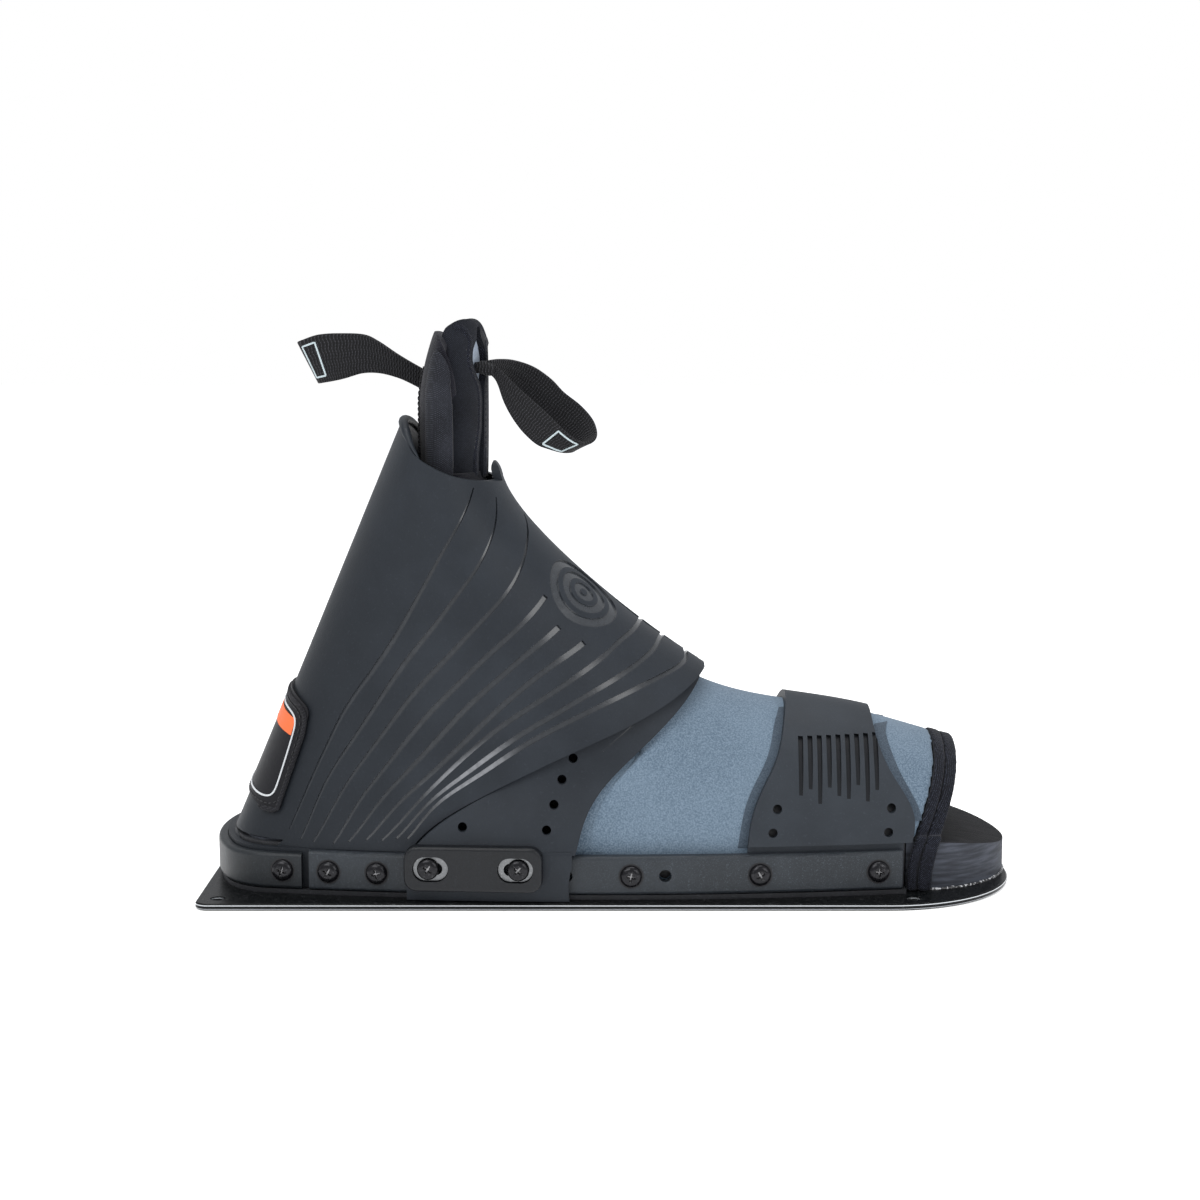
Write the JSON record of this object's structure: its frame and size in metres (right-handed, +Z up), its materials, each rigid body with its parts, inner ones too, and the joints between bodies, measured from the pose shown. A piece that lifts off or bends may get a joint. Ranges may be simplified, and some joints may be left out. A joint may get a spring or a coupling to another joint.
{
  "type": "waterski binding",
  "caption": "Double-wrap rubber waterski boot binding on a drilled plate, with clamping rails, slotted lock plates, open toe, soft liner and two pull loops.",
  "frame": {"origin": "centre of the base plate's underside, on the object's middle plane", "axes": "+X towards the toes, +Y to the wearer's left, +Z up out of the plate"},
  "size_m": [0.3574, 0.148, 0.2497],
  "materials": {
    "plate": "black anodised, polished edge",
    "chassis": "black moulded nylon",
    "insert": "turned brass",
    "countersunk_screw": "stainless steel",
    "footbed": "closed-cell foam, brushed top",
    "clamp": "grained moulded nylon",
    "side_screw": "black oxide steel",
    "wrap_rubber": "satin moulded rubber",
    "sleeve_fabric": "blue-grey jersey on neoprene",
    "liner_fabric": "black jersey on neoprene",
    "binding": "folded knit binding",
    "strap_rubber": "satin moulded rubber",
    "webbing": "ribbed polyester webbing",
    "patch": "stitched coated patch",
    "rail": "grained moulded nylon",
    "lock_plate": "grained moulded nylon",
    "slot_washer": "stainless steel"
  },
  "bodies": {
    "boot": {"base_plate": "plate", "chassis": "chassis", "threaded_inserts": "insert", "chassis_screws": "countersunk_screw", "footbed": "footbed", "heel_clamp": "clamp", "heel_clamp_screws": "side_screw", "outer_wrap": "wrap_rubber", "inner_wrap": "wrap_rubber", "forefoot_sleeve": "sleeve_fabric", "forefoot_liner": "liner_fabric", "sleeve_binding": "binding", "liner_binding": "binding", "toe_strap": "strap_rubber", "heel_liner": "liner_fabric", "heel_patch": "patch", "side_rail_right": "rail", "side_rail_left": "rail", "rail_screws_right": "side_screw", "rail_screws_left": "side_screw", "lock_screws_right": "side_screw", "lock_screws_left": "side_screw"},
    "heel_tab": {"heel_tab": "liner_fabric"},
    "tongue": {"tongue": "liner_fabric"},
    "rear_loop": {"rear_pull_loop": "webbing"},
    "front_loop": {"front_pull_loop": "webbing"},
    "lock_plate_right": {"lock_plate_right": "lock_plate", "slot_washers_right": "slot_washer"},
    "lock_plate_left": {"lock_plate_left": "lock_plate", "slot_washers_left": "slot_washer"}
  },
  "joints": [
    {"name": "heel_tab_fold", "type": "hinge", "parent": "boot", "child": "heel_tab", "pos_m": [-0.0865, 0, 0.2078], "axis": [0, 1, 0], "range_deg": [-35, 2], "stiffness_Nm_per_rad": 0.05},
    {"name": "tongue_fold", "type": "hinge", "parent": "boot", "child": "tongue", "pos_m": [-0.0551, 0, 0.1888], "axis": [0, 1, 0], "range_deg": [-2, 25], "stiffness_Nm_per_rad": 0.05},
    {"name": "rear_loop_swing", "type": "hinge", "parent": "heel_tab", "child": "rear_loop", "pos_m": [-0.095, 0, 0.2318], "axis": [0, 1, 0], "range_deg": [-30, 60]},
    {"name": "front_loop_swing", "type": "hinge", "parent": "tongue", "child": "front_loop", "pos_m": [-0.0515, 0, 0.2303], "axis": [0, 1, 0], "range_deg": [-70, 20]},
    {"name": "lock_plate_right_slide", "type": "slide", "parent": "boot", "child": "lock_plate_right", "axis": [0.9982, -0.0606, 0], "range_m": [-0.001, 0.0015]},
    {"name": "lock_plate_left_slide", "type": "slide", "parent": "boot", "child": "lock_plate_left", "axis": [0.9982, 0.0606, 0], "range_m": [-0.001, 0.0015]}
  ]
}
